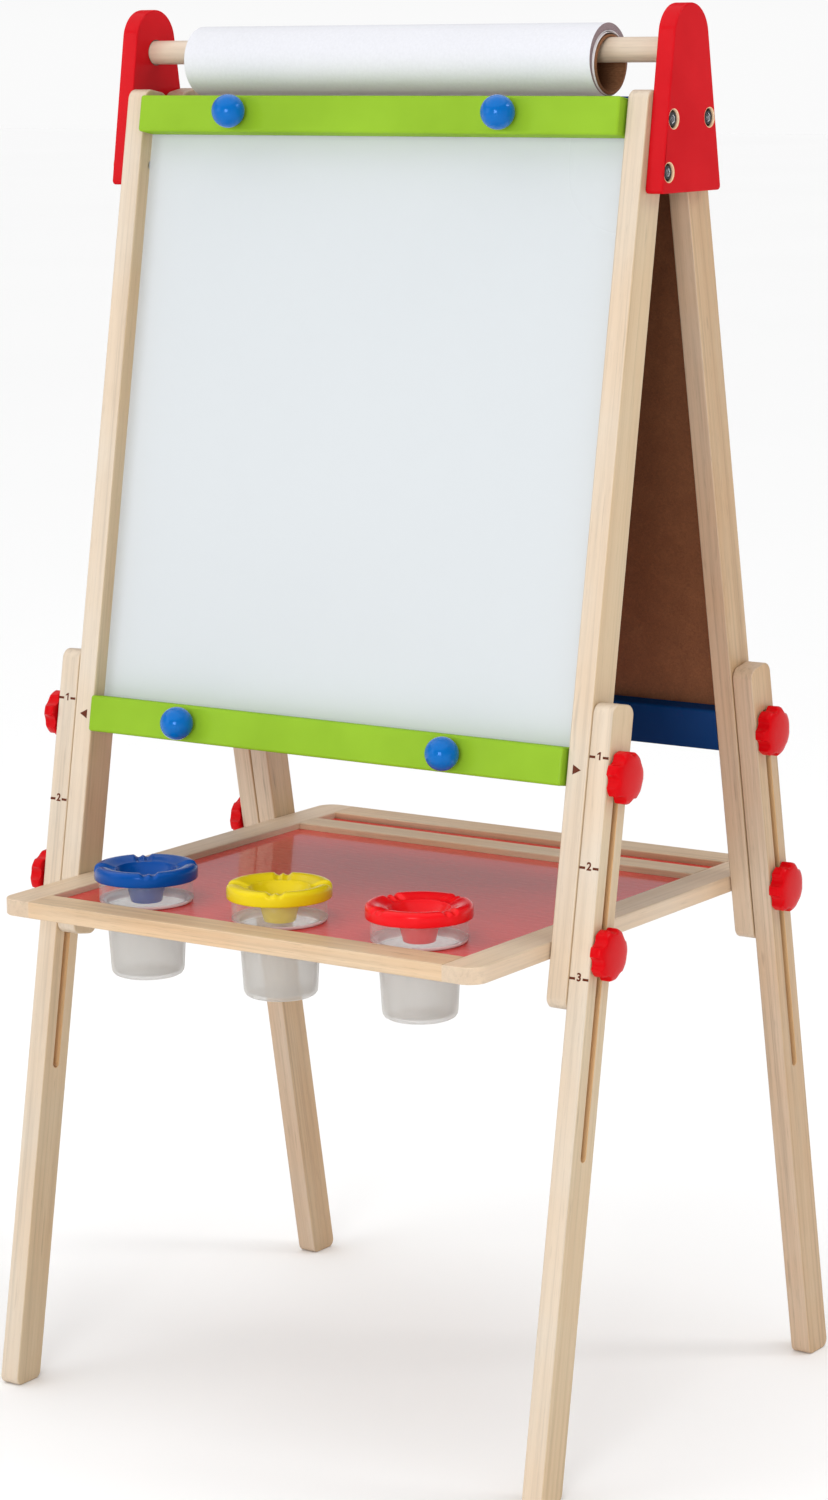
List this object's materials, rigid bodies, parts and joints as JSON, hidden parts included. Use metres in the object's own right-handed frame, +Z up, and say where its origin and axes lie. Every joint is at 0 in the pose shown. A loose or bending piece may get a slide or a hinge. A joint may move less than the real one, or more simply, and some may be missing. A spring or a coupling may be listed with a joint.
{
  "type": "kids easel",
  "caption": "Double-sided folding children's art easel with sliding legs, whiteboard, chalkboard, paper roll on a dowel, clamp bars and a tray with lidded paint cups.",
  "frame": {"origin": "on the floor under the middle of the footprint", "axes": "+X to the right of someone facing the whiteboard, -Y the whiteboard side, +Z up"},
  "size_m": [0.5246, 0.4486, 1.0495],
  "materials": {
    "wood_bare": "sanded, clear-lacquered pine",
    "paint_red": "gloss red paint on wood",
    "paint_green": "satin green paint on wood",
    "paint_blue": "satin dark blue paint on wood",
    "ball_blue": "gloss blue paint on wood",
    "board_white": "white enamel film on hardboard",
    "board_chalk": "matt black chalk paint on hardboard",
    "steel_black": "black oxide",
    "brass": "plain",
    "card": "brown tube board",
    "paper": "matt white",
    "knob_red": "gloss",
    "panel_red": "high-gloss red lacquer on hardboard",
    "cup_clear": "frosted, see-through",
    "lid_blue": "satin gloss",
    "lid_yellow": "satin gloss",
    "lid_red": "satin gloss"
  },
  "bodies": {
    "front_frame": {"side_plate_left": "paint_red", "side_plate_right": "paint_red", "front_post_left": "wood_bare", "front_post_right": "wood_bare", "front_top_rail": "paint_green", "front_bottom_rail": "paint_green", "whiteboard": "board_white", "front_plate_bolts": "steel_black", "front_post_inserts": "brass", "front_rail_dowels": "wood_bare", "ball_stud_inserts": "brass"},
    "back_frame": {"back_post_left": "wood_bare", "back_post_right": "wood_bare", "back_top_rail": "paint_blue", "back_bottom_rail": "paint_blue", "chalkboard": "board_chalk", "pivot_bolts": "steel_black", "back_post_inserts": "brass", "back_rail_dowels": "wood_bare"},
    "leg_front_left": {"leg_front_left": "wood_bare"},
    "knob_front_left_upper": {"knob_front_left_upper": "knob_red"},
    "knob_front_left_lower": {"knob_front_left_lower": "knob_red"},
    "leg_front_right": {"leg_front_right": "wood_bare"},
    "knob_front_right_upper": {"knob_front_right_upper": "knob_red"},
    "knob_front_right_lower": {"knob_front_right_lower": "knob_red"},
    "leg_back_left": {"leg_back_left": "wood_bare"},
    "knob_back_left_upper": {"knob_back_left_upper": "knob_red"},
    "knob_back_left_lower": {"knob_back_left_lower": "knob_red"},
    "leg_back_right": {"leg_back_right": "wood_bare"},
    "knob_back_right_upper": {"knob_back_right_upper": "knob_red"},
    "knob_back_right_lower": {"knob_back_right_lower": "knob_red"},
    "dowel": {"roll_dowel": "wood_bare"},
    "roll": {"roll_core": "card", "paper_roll": "paper"},
    "upper_bar": {"upper_clamp_bar": "paint_green"},
    "lower_bar": {"lower_clamp_bar": "paint_green"},
    "ball_upper_left": {"ball_upper_left": "ball_blue"},
    "ball_upper_right": {"ball_upper_right": "ball_blue"},
    "ball_lower_left": {"ball_lower_left": "ball_blue"},
    "ball_lower_right": {"ball_lower_right": "ball_blue"},
    "tray": {"tray_side_left": "wood_bare", "tray_side_right": "wood_bare", "tray_front_rail": "wood_bare", "tray_back_rail": "wood_bare", "tray_divider": "wood_bare", "tray_panel": "panel_red", "trough_panel": "panel_red", "tray_pins": "wood_bare", "tray_inserts": "brass"},
    "cup_blue": {"cup_blue": "cup_clear"},
    "lid_blue": {"lid_blue": "lid_blue"},
    "cup_yellow": {"cup_yellow": "cup_clear"},
    "lid_yellow": {"lid_yellow": "lid_yellow"},
    "cup_red": {"cup_red": "cup_clear"},
    "lid_red": {"lid_red": "lid_red"}
  },
  "joints": [
    {"name": "fold", "type": "hinge", "parent": "front_frame", "child": "back_frame", "pos_m": [0, 0.03749, 0.96913], "axis": [-1, 0, 0], "range_deg": [0, 20.3]},
    {"name": "leg_front_left_slide", "type": "slide", "parent": "front_frame", "child": "leg_front_left", "axis": [0, 0.1762, 0.9843], "range_m": [-0.013, 0.1455]},
    {"name": "knob_front_left_upper_turn", "type": "hinge", "parent": "front_frame", "child": "knob_front_left_upper", "pos_m": [-0.25, -0.09367, 0.51337], "axis": [-1, 0, 0], "continuous": true},
    {"name": "knob_front_left_lower_turn", "type": "hinge", "parent": "front_frame", "child": "knob_front_left_lower", "pos_m": [-0.25, -0.11578, 0.38984], "axis": [-1, 0, 0], "continuous": true},
    {"name": "leg_front_right_slide", "type": "slide", "parent": "front_frame", "child": "leg_front_right", "axis": [0, 0.1762, 0.9843], "range_m": [-0.013, 0.1455]},
    {"name": "knob_front_right_upper_turn", "type": "hinge", "parent": "front_frame", "child": "knob_front_right_upper", "pos_m": [0.25, -0.09367, 0.51337], "axis": [1, 0, 0], "continuous": true},
    {"name": "knob_front_right_lower_turn", "type": "hinge", "parent": "front_frame", "child": "knob_front_right_lower", "pos_m": [0.25, -0.11578, 0.38984], "axis": [1, 0, 0], "continuous": true},
    {"name": "leg_back_left_slide", "type": "slide", "parent": "back_frame", "child": "leg_back_left", "axis": [0, -0.1762, 0.9843], "range_m": [-0.013, 0.1455]},
    {"name": "knob_back_left_upper_turn", "type": "hinge", "parent": "back_frame", "child": "knob_back_left_upper", "pos_m": [-0.25, 0.11908, 0.51337], "axis": [-1, 0, 0], "continuous": true},
    {"name": "knob_back_left_lower_turn", "type": "hinge", "parent": "back_frame", "child": "knob_back_left_lower", "pos_m": [-0.25, 0.14119, 0.38984], "axis": [-1, 0, 0], "continuous": true},
    {"name": "leg_back_right_slide", "type": "slide", "parent": "back_frame", "child": "leg_back_right", "axis": [0, -0.1762, 0.9843], "range_m": [-0.013, 0.1455]},
    {"name": "knob_back_right_upper_turn", "type": "hinge", "parent": "back_frame", "child": "knob_back_right_upper", "pos_m": [0.25, 0.11908, 0.51337], "axis": [1, 0, 0], "continuous": true},
    {"name": "knob_back_right_lower_turn", "type": "hinge", "parent": "back_frame", "child": "knob_back_right_lower", "pos_m": [0.25, 0.14119, 0.38984], "axis": [1, 0, 0], "continuous": true},
    {"name": "dowel_shift", "type": "slide", "parent": "front_frame", "child": "dowel", "axis": [-1, 0, 0], "range_m": [0, 0.0058]},
    {"name": "roll_turn", "type": "hinge", "parent": "dowel", "child": "roll", "pos_m": [-0.004, 0.01271, 1.0103], "axis": [1, 0, 0], "continuous": true},
    {"name": "upper_bar_clamp", "type": "slide", "parent": "front_frame", "child": "upper_bar", "axis": [0, -0.9843, 0.1762], "range_m": [-0.0022, 0.004]},
    {"name": "lower_bar_clamp", "type": "slide", "parent": "front_frame", "child": "lower_bar", "axis": [0, -0.9843, 0.1762], "range_m": [0, 0.004]},
    {"name": "ball_upper_left_turn", "type": "hinge", "parent": "upper_bar", "child": "ball_upper_left", "pos_m": [-0.12, -0.03608, 0.97266], "axis": [0, -0.9843, 0.1762], "continuous": true},
    {"name": "ball_upper_right_turn", "type": "hinge", "parent": "upper_bar", "child": "ball_upper_right", "pos_m": [0.12, -0.03608, 0.97266], "axis": [0, -0.9843, 0.1762], "continuous": true},
    {"name": "ball_lower_left_turn", "type": "hinge", "parent": "lower_bar", "child": "ball_lower_left", "pos_m": [-0.12, -0.11696, 0.52085], "axis": [0, -0.9843, 0.1762], "continuous": true},
    {"name": "ball_lower_right_turn", "type": "hinge", "parent": "lower_bar", "child": "ball_lower_right", "pos_m": [0.12, -0.11696, 0.52085], "axis": [0, -0.9843, 0.1762], "continuous": true},
    {"name": "tray_drop", "type": "hinge", "parent": "front_frame", "child": "tray", "pos_m": [0, -0.11578, 0.38984], "axis": [-1, 0, 0], "range_deg": [0, 90]},
    {"name": "cup_blue_lift", "type": "slide", "parent": "tray", "child": "cup_blue", "axis": [0, 0, 1], "range_m": [0, 0.062]},
    {"name": "lid_blue_lift", "type": "slide", "parent": "cup_blue", "child": "lid_blue", "axis": [0, 0, 1], "range_m": [0, 0.018]},
    {"name": "cup_yellow_lift", "type": "slide", "parent": "tray", "child": "cup_yellow", "axis": [0, 0, 1], "range_m": [0, 0.062]},
    {"name": "lid_yellow_lift", "type": "slide", "parent": "cup_yellow", "child": "lid_yellow", "axis": [0, 0, 1], "range_m": [0, 0.018]},
    {"name": "cup_red_lift", "type": "slide", "parent": "tray", "child": "cup_red", "axis": [0, 0, 1], "range_m": [0, 0.062]},
    {"name": "lid_red_lift", "type": "slide", "parent": "cup_red", "child": "lid_red", "axis": [0, 0, 1], "range_m": [0, 0.018]}
  ]
}
